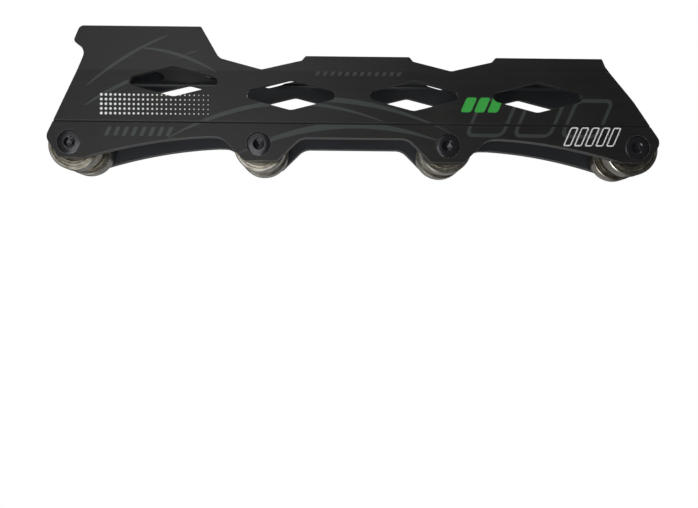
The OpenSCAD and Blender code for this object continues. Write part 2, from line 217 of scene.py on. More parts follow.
class Surface:
    """The node tree of one finish while it is being put together."""

    BEVEL_SAMPLES: int = 6
    EDGE_COSINES: Span = (0.985, 0.8)
    # The Mix node has its colour sockets after those for numbers and vectors.
    MIX_COLOURS: tuple[int, int] = (6, 7)
    MIX_RESULT: int = 2

    def __init__(self, name: str) -> None:
        """Start a material with a principled shader and object coordinates in millimetres.

        Args:
            name: Name of the material.
        """
        self.material = bpy.data.materials.new(name)
        self.material.use_nodes = True
        self.tree = self.material.node_tree
        self.tree.nodes.clear()
        self.shader = self.tree.nodes.new("ShaderNodeBsdfPrincipled")
        self.output = self.tree.nodes.new("ShaderNodeOutputMaterial")
        self.tree.links.new(self.shader.outputs["BSDF"], self.output.inputs["Surface"])
        coordinates = self.tree.nodes.new("ShaderNodeTexCoord")
        scale = self.tree.nodes.new("ShaderNodeVectorMath")
        scale.operation = "SCALE"
        scale.inputs["Scale"].default_value = 1 / MM
        self.tree.links.new(coordinates.outputs["Object"], scale.inputs[0])
        self.x, self.y, self.z = self.split(scale.outputs["Vector"])
        self.normal = self.split(coordinates.outputs["Normal"])

    def split(self, vector: bpy.types.NodeSocket) -> tuple[Field, Field, Field]:
        """Take a vector apart.

        Args:
            vector: Output socket that carries it.

        Returns:
            Its three parts.
        """
        node = self.tree.nodes.new("ShaderNodeSeparateXYZ")
        self.tree.links.new(vector, node.inputs[0])
        return tuple(Field(self.tree, out) for out in node.outputs)

    def joined(self, x: Field | float, y: Field | float, z: Field | float) -> Field:
        """Put a vector together.

        Args:
            x: First part.
            y: Second part.
            z: Third part.

        Returns:
            The vector, as a field.
        """
        node = self.tree.nodes.new("ShaderNodeCombineXYZ")
        for socket, value in zip(node.inputs, (x, y, z)):
            feed(self.tree, socket, value)
        return Field(self.tree, node.outputs[0])

    def noise(self, place: Field, octaves: float, weight: float) -> Field:
        """Fractal noise, from about 0.2 to 0.8, at a place given in noise cells.

        Args:
            place: Vector field, one unit to a cell.
            octaves: Number of finer octaves.
            weight: Weight of each finer octave.

        Returns:
            The noise.
        """
        node = self.tree.nodes.new("ShaderNodeTexNoise")
        node.inputs["Scale"].default_value = 1.0
        node.inputs["Detail"].default_value = octaves
        node.inputs["Roughness"].default_value = weight
        self.tree.links.new(place.socket, node.inputs["Vector"])
        return Field(self.tree, node.outputs[0])

    def mottle(self, cells: Cells) -> Field:
        """Fractal noise that is fixed to the piece.

        Args:
            cells: Size and octaves of the noise.

        Returns:
            The noise.
        """
        axes = (self.x, self.y, self.z)
        place = self.joined(*(axis * density for axis, density in zip(axes, cells.density)))
        return self.noise(place, cells.octaves, cells.weight)

    def blend(self, share: Field, first: Field | Colour, second: Field | Colour) -> Field:
        """Mix two colours.

        Args:
            share: Zero for the first colour, one for the second.
            first: Colour or colour field.
            second: Colour or colour field.

        Returns:
            The mixed colour, as a field.
        """
        node = self.tree.nodes.new("ShaderNodeMix")
        node.data_type = "RGBA"
        feed(self.tree, node.inputs[0], share)
        for number, colour in zip(self.MIX_COLOURS, (first, second)):
            feed(self.tree, node.inputs[number], colour if isinstance(colour, Field) else (*colour, 1.0))
        return Field(self.tree, node.outputs[self.MIX_RESULT])

    def relief(self, height: Field, depth: float) -> None:
        """Raise the surface in its shading.

        Args:
            height: Height, from about zero to one.
            depth: What a height of one stands for, in millimetres.
        """
        node = self.tree.nodes.new("ShaderNodeBump")
        node.inputs["Strength"].default_value = 1.0
        node.inputs["Distance"].default_value = depth * MM
        self.tree.links.new(height.socket, node.inputs["Height"])
        self.tree.links.new(node.outputs["Normal"], self.shader.inputs["Normal"])

    def edge(self, reach: float) -> Field:
        """Find the sharp edges, where the face's own direction differs from that of a rounded edge.

        Args:
            reach: Radius of the rounded edge.

        Returns:
            Zero on a flat face, rising to one at an edge.
        """
        bevel = self.tree.nodes.new("ShaderNodeBevel")
        bevel.samples = self.BEVEL_SAMPLES
        bevel.inputs["Radius"].default_value = reach * MM
        geometry = self.tree.nodes.new("ShaderNodeNewGeometry")
        cosine = self.tree.nodes.new("ShaderNodeVectorMath")
        cosine.operation = "DOT_PRODUCT"
        self.tree.links.new(bevel.outputs["Normal"], cosine.inputs[0])
        self.tree.links.new(geometry.outputs["Normal"], cosine.inputs[1])
        return Field(self.tree, cosine.outputs["Value"]).ramp(*self.EDGE_COSINES)

    def set(self, **values: Field | float | tuple) -> None:
        """Feed sockets of the shader.

        Args:
            values: What each socket gets; its name has _ for a space, such as base_color.
        """
        for word, value in values.items():
            name = " ".join(part.capitalize() if part != "ior" else "IOR" for part in word.split("_"))
            feed(self.tree, self.shader.inputs[name], value)


@dataclass(frozen=True)
class Stations:
    """The row of axles: their places along the frame and their height."""

    places: tuple[float, ...]
    height: float

    @classmethod
    def read(cls, count: int = 4) -> Stations:
        """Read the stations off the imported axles.

        Args:
            count: Number of axles.

        Returns:
            The stations, heel first.
        """
        boxes = [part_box(f"axle_{number}") for number in range(1, count + 1)]
        middles = [(low + high) / 2 / MM for low, high in boxes]
        return cls(tuple(middle.x for middle in middles), middles[0].z)

    @property
    def pitch(self) -> float:
        """Distance from one axle to the next."""
        return self.places[1] - self.places[0]

    def radius(self, surface: Surface) -> Field:
        """Distance from the nearest axle's centre line, as a field of that surface."""
        return (surface.x - self.places[0]).cell(self.pitch).hypot(surface.z - self.height)


@dataclass(frozen=True)
class Bars:
    """A row of slanted printed bars with rounded corners.

    Inside one bar the distance to its outline is that of a rounded box in sheared coordinates: along the
    row, the distance to the nearest bar's middle, and up the wall, the distance to the row's middle.
    """

    start: float
    middle: float
    count: int
    pitch: float
    width: float
    height: float
    corner: float
    slant: float = 0.42
    fill: Fill = Fill.SOLID
    line: float = 0.5

    def coverage(self, x: Field, up: Field) -> Field:
        """Ink coverage of the row.

        Args:
            x: Place along the frame.
            up: Height above the wall's lower edge.

        Returns:
            One inside the ink, zero outside.
        """
        rise = up - self.middle
        along = x - rise * self.slant - (self.start + self.width / 2)
        across = (abs(along.cell(self.pitch)) - (self.width / 2 - self.corner)).over(0.0)
        above = (abs(rise) - (self.height / 2 - self.corner)).over(0.0)
        distance = across.hypot(above) - self.corner
        if self.fill is Fill.OUTLINE:
            distance = abs(distance + self.line / 2) - self.line / 2
        span = self.pitch * (self.count - 1) / 2
        inside = (abs(along - span) - (span + self.pitch / 2)).inked()
        return distance.inked() * inside


@dataclass(frozen=True)
class Halftone:
    """A block of printed dots that shrink from one end to the other.

    The distance to a dot is the distance to the nearest point of a square lattice, less a radius that falls
    steadily along the block.
    """

    start: float
    middle: float
    columns: int
    rows: int
    pitch: float
    first_r: float
    last_r: float

    def coverage(self, x: Field, up: Field) -> Field:
        """Ink coverage of the block.

        Args:
            x: Place along the frame.
            up: Height above the wall's lower edge.

        Returns:
            One inside a dot, zero outside.
        """
        length = self.pitch * (self.columns - 1)
        along = x - self.start
        rise = up - self.middle
        even_shift = self.pitch / 2 if self.rows % 2 == 0 else 0.0
        spread = along.cell(self.pitch).hypot((rise - even_shift).cell(self.pitch))
        shrink = (self.last_r - self.first_r) / length
        dots = (spread - (along * shrink + self.first_r)).inked()
        ends = (abs(along - length / 2) - (length + self.pitch) / 2).inked()
        return dots * ends * (abs(rise) - self.pitch * self.rows / 2).inked()


@dataclass(frozen=True)
class Stroke:
    """A printed stripe from one point to another, bowed upwards and narrow at both ends.

    A point's share of the way is its projection on the straight line, and the stripe's middle rises above
    that line by a parabola of the share. The stripe's half width follows the same parabola.
    """

    start: Spot
    end: Spot
    bow: float
    width: float
    tip: float = 0.15
    soft: float = 0.14

    def coverage(self, x: Field, up: Field) -> Field:
        """Ink coverage of the stripe.

        Args:
            x: Place along the frame.
            up: Height above the wall's lower edge.

        Returns:
            One inside the stripe, zero outside.
        """
        run, rise = self.end[0] - self.start[0], self.end[1] - self.start[1]
        square = run * run + rise * rise
        ahead, above = x - self.start[0], up - self.start[1]
        share = (ahead * (run / square) + above * (rise / square)).over(0.0).under(1.0)
        swell = share * (share * -4.0 + 4.0)
        off = (ahead - share * run).hypot(above - share * rise - swell * self.bow)
        half_width = (swell * (1 - self.tip) + self.tip) * (self.width / 2)
        return (off - half_width).inked(self.soft)


Mark = Bars | Halftone | Stroke


@dataclass(frozen=True)
class Finish:
    """Base of the finishes: a name and the material that is built for it once."""

    name: str

    def material(self) -> bpy.types.Material:
        """Find the material, or build it on first use.

        Returns:
            The material.
        """
        found = bpy.data.materials.get(self.name)
        if found is None:
            surface = Surface(self.name)
            self.paint(surface)
            found = surface.material
        return found

    def paint(self, surface: Surface) -> None:
        """Set up the shader; each finish has its own way."""
        raise NotImplementedError

    def coat(self, obj: bpy.types.Object) -> None:
        """Give an object this finish as its only material.

        Args:
            obj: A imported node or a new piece.
        """
        obj.data.materials.clear()
        obj.data.materials.append(self.material())
        LOG.info("%s: finished as %s", obj.name, self.name)


@dataclass(frozen=True)
class Anodised(Finish):
    """Satin black anodised extrusion with drawn streaks, rubbed edges with a painted highlight and printed
    marks on the outer walls.

    The inner faces get a paler base, painted light where the channel keeps them in shade, and the faces that
    look down, in the windows and under the webs, a darker, duller one that is painted shade.
    """

    foot: float
    grey_marks: tuple[Mark, ...]
    white_marks: tuple[Mark, ...]
    green_marks: tuple[Mark, ...]
    deep: Colour = (0.0105, 0.0108, 0.0102)
    pale: Colour = (0.0165, 0.017, 0.0158)
    # Painted light: a paler base for the inner faces, which lie in the channel's shade.
    painted_inner_light: Colour = (0.022, 0.0245, 0.028)
    # Painted shade: a darker base for the faces that look down, under the webs and in the windows.
    milled: Colour = (0.0085, 0.009, 0.01)
    # Rubbed edges: real wear and a painted highlight, fullest along the walls' lower edges.
    rubbed: Colour = (0.15, 0.155, 0.15)
    grey: Colour = (0.042, 0.05, 0.047)
    white: Colour = (0.78, 0.79, 0.78)
    green: Colour = (0.045, 0.39, 0.062)
    streaks: Cells = Cells((0.012, 2.6, 2.6), 3.0, 0.6)
    clouds: Cells = Cells((0.05, 0.05, 0.07), 3.0)
    grit: Cells = Cells((9.0, 9.0, 9.0), 1.0)
    inward: Span = (-4.0, -11.0)
    downward: Span = (-0.6, -0.9)
    outward: Span = (0.75, 0.9)
    wall_y: Span = (17.1, 17.2)
    milled_up: Span = (16.0, 20.0)
    wear_reach: float = 0.38
    wear_and_highlight_grit: Step = (0.25, 0.6, 0.45, 1.0)
    wear_and_highlight_height: Step = (16.0, 11.0, 0.25, 1.0)
    ink_pores: Span = (0.18, 0.34)
    roughness: Span = (0.36, 0.46)
    cloud_dulls: float = 0.1
    wear_shines: float = 0.1
    underside_shade_dulls: float = 0.16
    specular: float = 0.3
    streak_share: float = 0.7
    depth: float = 0.012

    def paint(self, surface: Surface) -> None:
        """Streaks run along the frame; ink lies only on the outward faces of the walls.

        Args:
            surface: Node tree to set up.
        """
        y, up = surface.y, surface.z - self.foot
        facing_y, facing_z = surface.normal[1], surface.normal[2]
        streak, cloud, grit = (surface.mottle(cells) for cells in (self.streaks, self.clouds, self.grit))
        base = surface.blend(((streak + cloud) * 0.5).ramp(*NOISE_SPAN), self.deep, self.pale)
        # Painted light: faces that look into the channel get the paler base.
        base = surface.blend((facing_y * y).ramp(*self.inward), base, self.painted_inner_light)
        # Painted shade: faces that look down, above the walls' lower edges, get the darker base and more
        # roughness.
        underside_shade = facing_z.ramp(*self.downward) * up.ramp(*self.milled_up)
        base = surface.blend(underside_shade, base, self.milled)
        # Edge colour: real wear and a painted highlight, in patches, fuller on edges near the walls' foot.
        wear = surface.edge(self.wear_reach) * grit.ramp(*self.wear_and_highlight_grit) * up.ramp(*self.wear_and_highlight_height)
        outer = abs(facing_y).ramp(*self.outward) * abs(y).ramp(*self.wall_y)
        worn_and_highlit = surface.blend(wear, base, self.rubbed)
        rough = streak.ramp(*NOISE_SPAN, *self.roughness) + (cloud - NOISE_MIDDLE) * self.cloud_dulls
        surface.set(
            base_color=self.printed(surface, worn_and_highlit, outer * grit.ramp(*self.ink_pores)),
            roughness=rough - wear * self.wear_shines + underside_shade * self.underside_shade_dulls,
            metallic=0.0,
            specular_ior_level=self.specular,
        )
        surface.relief(streak * self.streak_share + grit * (1 - self.streak_share), self.depth)

    def printed(self, surface: Surface, colour: Field, takes_ink: Field) -> Field:
        """Print the marks of each ink in turn.

        Args:
            surface: Node tree to add to.
            colour: Colour under the ink.
            takes_ink: One where ink holds, zero elsewhere.

        Returns:
            The printed colour.
        """
        up = surface.z - self.foot
        for marks, ink in (
            (self.grey_marks, self.grey),
            (self.white_marks, self.white),
            (self.green_marks, self.green),
        ):
            cover = marks[0].coverage(surface.x, up)
            for mark in marks[1:]:
                cover = cover.over(mark.coverage(surface.x, up))
            colour = surface.blend(cover * takes_ink, colour, ink)
        return colour


@dataclass(frozen=True)
class Oxide(Finish):
    """Gloss blue-black oxide on turned steel, rubbed bright along its edges."""

    stations: Stations
    dark: Colour = (0.017, 0.018, 0.023)
    hazed: Colour = (0.026, 0.026, 0.03)
    rubbed: Colour = (0.16, 0.16, 0.165)
    haze: Cells = Cells((0.4, 0.25, 0.4))
    marks: float = 7.0
    mark_octaves: float = 2.0
    mark_weight: float = 0.5
    wear_reach: float = 0.18
    wear_haze: Step = (0.3, 0.6, 0.3, 0.9)
    wear_dulls: float = 0.1
    roughness: Span = (0.19, 0.25)
    metal: float = 0.55
    varnish: float = 0.35
    varnish_roughness: float = 0.16
    depth: float = 0.0006

    def paint(self, surface: Surface) -> None:
        """Fine turning marks run round the axle.

        Args:
            surface: Node tree to set up.
        """
        radius = self.stations.radius(surface)
        place = surface.joined(surface.y * self.marks, radius * self.marks, 0.0)
        turning = surface.noise(place, self.mark_octaves, self.mark_weight)
        haze = surface.mottle(self.haze)
        wear = surface.edge(self.wear_reach) * haze.ramp(*self.wear_haze)
        tint = surface.blend(haze, self.dark, self.hazed)
        surface.set(
            base_color=surface.blend(wear, tint, self.rubbed),
            roughness=turning.ramp(*NOISE_SPAN, *self.roughness) + wear * self.wear_dulls,
            metallic=self.metal,
            coat_weight=self.varnish,
            coat_roughness=self.varnish_roughness,
        )
        surface.relief(turning, self.depth)


@dataclass(frozen=True)
class Turned(Finish):
    """Bare steel with turning marks round the axle, a warm film of oil and bright rubbed edges."""

    stations: Stations
    bright: Colour
    film: Colour
    marks: float
    gloss: float
    depth: float = 0.008
    mark_octaves: float = 3.0
    mark_weight: float = 0.65
    mark_span: Span = (0.25, 0.75)
    mark_dulls: float = 0.16
    film_cells: Cells = Cells((0.3, 0.3, 0.3), 3.0)
    film_span: Span = (0.35, 0.65)
    groove_span: Span = (0.3, 0.55)
    spots: Cells = Cells((1.7, 1.7, 1.7))
    spot_dulls: Step = (0.55, 0.7, 0.0, 0.12)
    wear_reach: float = 0.2

    def paint(self, surface: Surface) -> None:
        """Marks vary with the distance from the axle's line and along it; the film varies slowly.

        Args:
            surface: Node tree to set up.
        """
        radius = self.stations.radius(surface)
        place = surface.joined(radius * self.marks, surface.y * self.marks, 0.0)
        turning = surface.noise(place, self.mark_octaves, self.mark_weight)
        oiled = surface.mottle(self.film_cells).ramp(*self.film_span)
        steel = surface.blend(oiled, self.bright, self.film)
        shade = surface.blend(turning.ramp(*self.groove_span), self.film, steel)
        rough = turning.ramp(*self.mark_span, self.gloss, self.gloss + self.mark_dulls)
        surface.set(
            base_color=surface.blend(surface.edge(self.wear_reach), shade, self.bright),
            roughness=rough + surface.mottle(self.spots).ramp(*self.spot_dulls),
            metallic=1.0,
        )
        surface.relief(turning, self.depth)


@dataclass(frozen=True)
class Polished(Finish):
    """Mirror-finished bearing balls with a breath of oil."""

    clean: Colour = (0.72, 0.72, 0.73)
    oiled: Colour = (0.62, 0.6, 0.55)
    oil: Cells = Cells((0.9, 0.9, 0.9))
    oil_dulls: Step = (0.4, 0.7, 0.06, 0.16)

    def paint(self, surface: Surface) -> None:
        """The oil shows as soft patches of lower gloss.

        Args:
            surface: Node tree to set up.
        """
        oil = surface.mottle(self.oil)
        surface.set(
            base_color=surface.blend(oil, self.clean, self.oiled),
            roughness=oil.ramp(*self.oil_dulls),
            metallic=1.0,
        )


@dataclass(frozen=True)
class PaleFloor(Finish):
    """Matt pale floor that shows from above only, so that a low camera looks past it."""

    pale: Colour = (0.86, 0.86, 0.85)
    paler: Colour = (0.88, 0.88, 0.87)
    patches: Cells = Cells((0.02, 0.02, 0.0))
    roughness: float = 0.75
    specular: float = 0.2
    glow: float = 0.58

    def paint(self, surface: Surface) -> None:
        """The lower side lets all rays through.

        Args:
            surface: Node tree to set up.
        """
        surface.set(
            base_color=surface.blend(surface.mottle(self.patches), self.pale, self.paler),
            roughness=self.roughness,
            specular_ior_level=self.specular,
            emission_color=(1.0, 1.0, 1.0, 1.0),
            emission_strength=self.glow,
        )
        tree = surface.tree
        geometry = tree.nodes.new("ShaderNodeNewGeometry")
        clear = tree.nodes.new("ShaderNodeBsdfTransparent")
        mix = tree.nodes.new("ShaderNodeMixShader")
        tree.links.new(geometry.outputs["Backfacing"], mix.inputs["Fac"])
        tree.links.new(surface.shader.outputs["BSDF"], mix.inputs[1])
        tree.links.new(clear.outputs["BSDF"], mix.inputs[2])
        tree.links.new(mix.outputs["Shader"], surface.output.inputs["Surface"])


def full_turn(columns: int) -> Array:
    """Angles spread evenly round a circle, without the one that closes it."""
    return np.linspace(0, 2 * np.pi, columns, endpoint=False)


def smooth(share: Array) -> Array:
    """Ease a share, kept from zero to one, at both ends: three times its square less twice its cube."""
    share = np.clip(share, 0, 1)
    return share * share * (3 - 2 * share)


def quads(rows: int, columns: int, wrap_rows: bool) -> Array:
    """Corner numbers of the faces of a grid whose columns go round a closed circle.

    Args:
        rows: Number of rings.
        columns: Points in each ring.
        wrap_rows: Whether the last ring joins the first.

    Returns:
        One row of four corner numbers for each face.
    """
    index = np.arange(rows * columns).reshape(rows, columns)
    if wrap_rows:
        index = np.vstack([index, index[:1]])
    beside = np.roll(index, -1, axis=1)
    return np.stack([index[:-1], beside[:-1], beside[1:], index[1:]], axis=-1).reshape(-1, 4)


def fan(pole: int, first: int, columns: int, outward: bool) -> Array:
    """Triangles that close a ring at a pole.

    Args:
        pole: Number of the pole's point.
        first: Number of the ring's first point.
        columns: Points in the ring.
        outward: Which way round the triangles run.

    Returns:
        One row of three corner numbers for each triangle.
    """
    ring = first + np.arange(columns)
    beside = np.roll(ring, -1)
    pair = (beside, ring) if outward else (ring, beside)
    return np.stack([np.full(columns, pole), *pair], axis=-1)


def spun(radius: Array, depth: Array, angles: Array, station: Spot) -> Array:
    """Points of a surface turned about a line along Y: x and z on a circle, y from the depth.

    Args:
        radius: Distance from the line, rings by angles.
        depth: Y of each point, rings by angles.
        angles: Angle of each column.
        station: X and Z of the line.

    Returns:
        Points, rings by angles by three.
    """
    x = station[0] + radius * np.cos(angles)
    z = station[1] + radius * np.sin(angles)
    return np.stack([x, depth + 0 * radius, z], axis=-1)


def along(corners: list[Spot], steps: int) -> tuple[Array, Array]:
    """Points spread evenly along each straight stretch between corners.

    Args:
        corners: Radius and depth of each corner.
        steps: Points on each stretch.

    Returns:
        Radius and depth of the points, as columns.
    """
    nodes = np.array(corners)
    number = np.arange(len(nodes))
    at = np.linspace(0, number[-1], number[-1] * steps + 1)
    return np.interp(at, number, nodes[:, 0])[:, None], np.interp(at, number, nodes[:, 1])[:, None]


@dataclass(frozen=True)
class Piece:
    """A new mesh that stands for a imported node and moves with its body."""

    name: str
    node: str
    body: str
    slot: str
    finish: Finish
    sharp_deg: float = 32.0

    def place(self, points: Array, faces: list[list[int]]) -> None:
        """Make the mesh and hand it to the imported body.

        Args:
            points: Corners in millimetres.
            faces: Corner numbers of each face, running anticlockwise seen from outside.
        """
        mesh = bpy.data.meshes.new(self.name)
        mesh.from_pydata((points * MM).tolist(), [], faces)
        mesh.shade_smooth()
        mesh.set_sharp_from_angle(angle=math.radians(self.sharp_deg))
        mesh.update()
        obj = bpy.data.objects.new(self.name, mesh)
        bpy.context.scene.collection.objects.link(obj)
        self.finish.coat(obj)
        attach(obj, self.body)
        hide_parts(self.node)
        LOG.info("%s: %d points, stands for %s", self.name, len(points), self.node)


@dataclass(frozen=True)
class Axle:
    """A screw-in axle, measured from its head's face: head with a hexagon socket, cone, shank and thread."""

    head_r: float = 5.0
    rim: float = 1.0
    cone: float = 2.4
    shank_r: float = 3.97
    thread_r: float = 2.98
    thread_len: float = 7.0
    thread_pitch: float = 1.0
    thread_depth: float = 0.55
    tooth_steep: float = 1.3
    relief_r: float = 2.45
    relief_len: float = 0.7
    chamfer: float = 0.4
    chamfer_bulge: float = 0.3
    key_w: float = 4.0
    key_depth: float = 3.0
    key_lead: float = 0.15
    lead_rows_from: float = 0.55
    wall_rows_to: float = 0.6
    drill_point: float = 0.5
    drill_span: Span = (0.1, 0.97)
    drill_rows: int = 6
    wall_rows: int = 5
    lead_rows: int = 12
    body_rows: int = 3
    thread_rows: int = 100
    columns: int = 96

    def socket(self, angles: Array) -> tuple[Array, Array]:
        """Rings of the key socket, from its floor out to the head's face.

        The hexagon's radius at an angle is its half width over the cosine of the angle from the nearest
        flat's middle. The walls follow it, or a 45 degree lead-in cone near the mouth where that is wider.
        The floor is a shallow drill point of the same shape, shrunk.

        Args:
            angles: Angle of each column.

        Returns:
            Radius and depth, rings by angles.
        """
        hexagon = self.key_w / 2 / np.cos(np.mod(angles, np.pi / 3) - np.pi / 6)
        mouth = self.key_w / 2 / np.cos(np.pi / 6) + self.key_lead
        share = np.linspace(*self.drill_span, self.drill_rows)[:, None]
        deep = np.linspace(self.key_depth, self.wall_rows_to, self.wall_rows)
        wall = np.append(deep, np.linspace(self.lead_rows_from, 0, self.lead_rows))[:, None]
        radius = np.vstack([share * hexagon, np.maximum(hexagon, mouth - wall)])
        depth = np.vstack([self.key_depth + self.drill_point * (1 - share), wall])
        return radius, depth + 0 * radius

    def body(self, neck: float) -> tuple[Array, Array]:
        """Rings of the head, cone, shank and relief: straight stretches between the turned corners.

        Args:
            neck: Depth of the shoulder where the shank ends.

        Returns:
            Radius and depth, as columns.
        """
        bevel = self.chamfer
        bulge = self.chamfer_bulge * bevel
        corners = [
            (self.head_r - bevel, 0.0),
            (self.head_r - bulge, bulge),
            (self.head_r, bevel),
            (self.head_r, self.rim),
            (self.shank_r, self.rim + self.cone),
            (self.shank_r, neck - bevel),
            (self.shank_r - bevel, neck),
            (self.relief_r, neck),
            (self.relief_r, neck + self.relief_len),
        ]
        return along(corners, self.body_rows)

    def thread(self, angles: Array, start: float, end: float) -> tuple[Array, Array]:
        """Rings of the thread: the radius falls below the crest by a tooth that climbs with the angle.

        The tooth is a triangle wave of turns along the axle minus turns round it, made steeper about its
        middle so that its crest and root are cut flat. It fades in from the relief and is cut back by the
        end chamfer.

        Args:
            angles: Angle of each column.
            start: Depth where the thread begins.
            end: Depth of the axle's end.

        Returns:
            Radius and depth, rings by angles.
        """
        depth = np.linspace(start, end, self.thread_rows)[:, None]
        turns = np.mod(depth / self.thread_pitch - angles / (2 * np.pi), 1.0)
        wave = 1 - 2 * np.abs(turns - 0.5)
        tooth = np.clip(0.5 + self.tooth_steep * (wave - 0.5), 0, 1)
        full = self.thread_r - self.thread_depth * (1 - tooth)
        radius = self.relief_r + (full - self.relief_r) * smooth((depth - start) / self.thread_pitch)
        return np.minimum(radius, self.thread_r - self.chamfer - (depth - end)), depth + 0 * radius

    def build(self, piece: Piece, station: Spot, head_y: float, end_y: float) -> None:
        """Make the axle of one station: its rings joined in order, with a pole at each end.

        Args:
            piece: The piece that the mesh becomes.
            station: X and Z of the axle's line.
            head_y: Y of the head's face.
            end_y: Y of the threaded end.
        """
        length = end_y - head_y
        neck = length - self.thread_len
        angles = full_turn(self.columns)
        body_r, body_t = self.body(neck)
        parts = [
            self.socket(angles),
            (body_r + 0 * angles, body_t + 0 * angles),
            self.thread(angles, neck + self.relief_len, length),
        ]
        radius = np.vstack([part[0] for part in parts])
        depth = head_y + np.vstack([part[1] for part in parts])
        rings = spun(radius, depth, angles, station).reshape(-1, 3)
        poles = [
            [station[0], head_y + self.key_depth + self.drill_point, station[1]],
            [station[0], end_y, station[1]],
        ]
        count = len(rings)
        faces = quads(len(radius), self.columns, False).tolist()
        faces += fan(count, 0, self.columns, True).tolist()
        faces += fan(count + 1, count - self.columns, self.columns, False).tolist()
        piece.place(np.vstack([rings, poles]), faces)


@dataclass(frozen=True)
class Shield:
    """A bearing's pressed shield: a thin ring with a sunk middle, a raised bead and a curled rim."""

    inner_r: float = 6.4
    outer_r: float = 9.685
    sheet: float = 0.26
    face_y: float = 3.02
    step_r: float = 7.05
    step_w: float = 0.5
    step_drop: float = 0.2
    bead_r: float = 8.5
    bead_w: float = 0.45
    bead_rise: float = 0.09
    curl_w: float = 0.5
    curl_drop: float = 0.16
    columns: int = 96
    rows: int = 44

    def ring(self, station: Spot, middle_y: float, outward: int) -> Array:
        """Points of one shield's skin, out along its face and back along its inside.

        The sheet's middle line falls by a smooth step inside the step radius, swells as a bell curve at the
        bead and bends down as a square at the rim; the two skins lie half a sheet to each side of it.

        Args:
            station: X and Z of the axle's line.
            middle_y: Y of the bearing's middle.
            outward: Sign of Y on which this shield faces.

        Returns:
            Points, rings by angles by three.
        """
        angles = full_turn(self.columns)
        radius = np.linspace(self.inner_r, self.outer_r, self.rows)
        drop = self.step_drop * (1 - smooth((radius - self.step_r) / self.step_w + 0.5))
        bead = self.bead_rise * np.exp(-(((radius - self.bead_r) / (self.bead_w / 2)) ** 2))
        curl = self.curl_drop * np.clip((radius - self.outer_r) / self.curl_w + 1, 0, 1) ** 2
        line = self.face_y - drop + bead - curl
        height = np.append(line + self.sheet / 2, (line - self.sheet / 2)[::-1])[:, None]
        loop = np.append(radius, radius[::-1])[:, None] + 0 * angles
        return spun(loop, middle_y + outward * height, angles, station)

    def build(self, piece: Piece, station: Spot, middle_y: float) -> None:
        """Make the pair of shields of one bearing.

        Args:
            piece: The piece that the mesh becomes.
            station: X and Z of the axle's line.
            middle_y: Y of the bearing's middle.
        """
        skins = [self.ring(station, middle_y, side.value).reshape(-1, 3) for side in Side]
        faces = quads(2 * self.rows, self.columns, True)
        both = np.vstack([faces, faces[:, ::-1] + len(skins[0])])
        piece.place(np.vstack(skins), both.tolist())


@dataclass(frozen=True)
class Steels:
    """Finishes of the axles, spacers and bearings."""

    oxide: Oxide
    spacer: Turned
    ring: Turned
    shield: Turned
    cage: Turned
    ball: Polished

    @classmethod
    def choose(cls, stations: Stations) -> Steels:
        """Choose the finish of each kind of piece.

        Args:
            stations: The row of axles, which the turning marks run round.

        Returns:
            The finishes.
        """
        return cls(
            oxide=Oxide("blue_black_oxide", stations),
            spacer=Turned(
                "turned_spacer_steel",
                stations,
                bright=(0.5, 0.48, 0.44),
                film=(0.3, 0.28, 0.24),
                marks=4.0,
                gloss=0.3,
            ),
            ring=Turned(
                "ground_ring_steel",
                stations,
                bright=(0.46, 0.44, 0.4),
                film=(0.24, 0.22, 0.18),
                marks=7.0,
                gloss=0.22,
            ),
            shield=Turned(
                "pressed_shield_steel",
                stations,
                bright=(0.4, 0.37, 0.31),
                film=(0.19, 0.17, 0.13),
                marks=3.0,
                gloss=0.3,
                depth=0.014,
            ),
            cage=Turned(
                "pressed_cage_steel",
                stations,
                bright=(0.42, 0.36, 0.24),
                film=(0.25, 0.21, 0.14),
                marks=3.0,
                gloss=0.34,
            ),
            ball=Polished("polished_balls"),
        )


@dataclass(frozen=True)
class Bearing:
    """One ball bearing: packed rings, cage and balls, and a new pair of shields."""

    name: str
    station: Spot
    shield: Shield = Shield()

    def dress(self, nodes: Nodes, steels: Steels) -> None:
        """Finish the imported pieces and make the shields.

        Args:
            nodes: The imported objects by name.
            steels: The finishes.
        """
        for part, finish in (
            ("outer_ring", steels.ring),
            ("inner_ring", steels.ring),
            ("cage", steels.cage),
            ("balls", steels.ball),
        ):
            finish.coat(nodes[f"{self.name}_{part}"])
        low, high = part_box(f"{self.name}_outer_ring")
        piece = Piece(
            f"{self.name}_pressed_shields",
            f"{self.name}_shields",
            f"{self.name}_outer",
            "shield_steel",
            steels.shield,
        )
        self.shield.build(piece, self.station, (low.y + high.y) / 2 / MM)


@dataclass(frozen=True)
class Hardware:
    """Axles, spacers and bearings of all stations."""

    stations: Stations
    axle: Axle = Axle()

    def build(self, nodes: Nodes) -> None:
        """Make the axles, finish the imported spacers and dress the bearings.

        Args:
            nodes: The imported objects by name.
        """
        steels = Steels.choose(self.stations)
        for number, x in enumerate(self.stations.places, 1):
            station = (x, self.stations.height)
            node = f"axle_{number}"
            low, high = (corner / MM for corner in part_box(node))
            piece = Piece(f"threaded_{node}", node, node, "axle_black", steels.oxide)
            self.axle.build(piece, station, low.y, high.y)
            steels.spacer.coat(nodes[f"spacer_{number}"])
            for side in Side:
                Bearing(f"bearing_{number}_{side.word}", station).dress(nodes, steels)


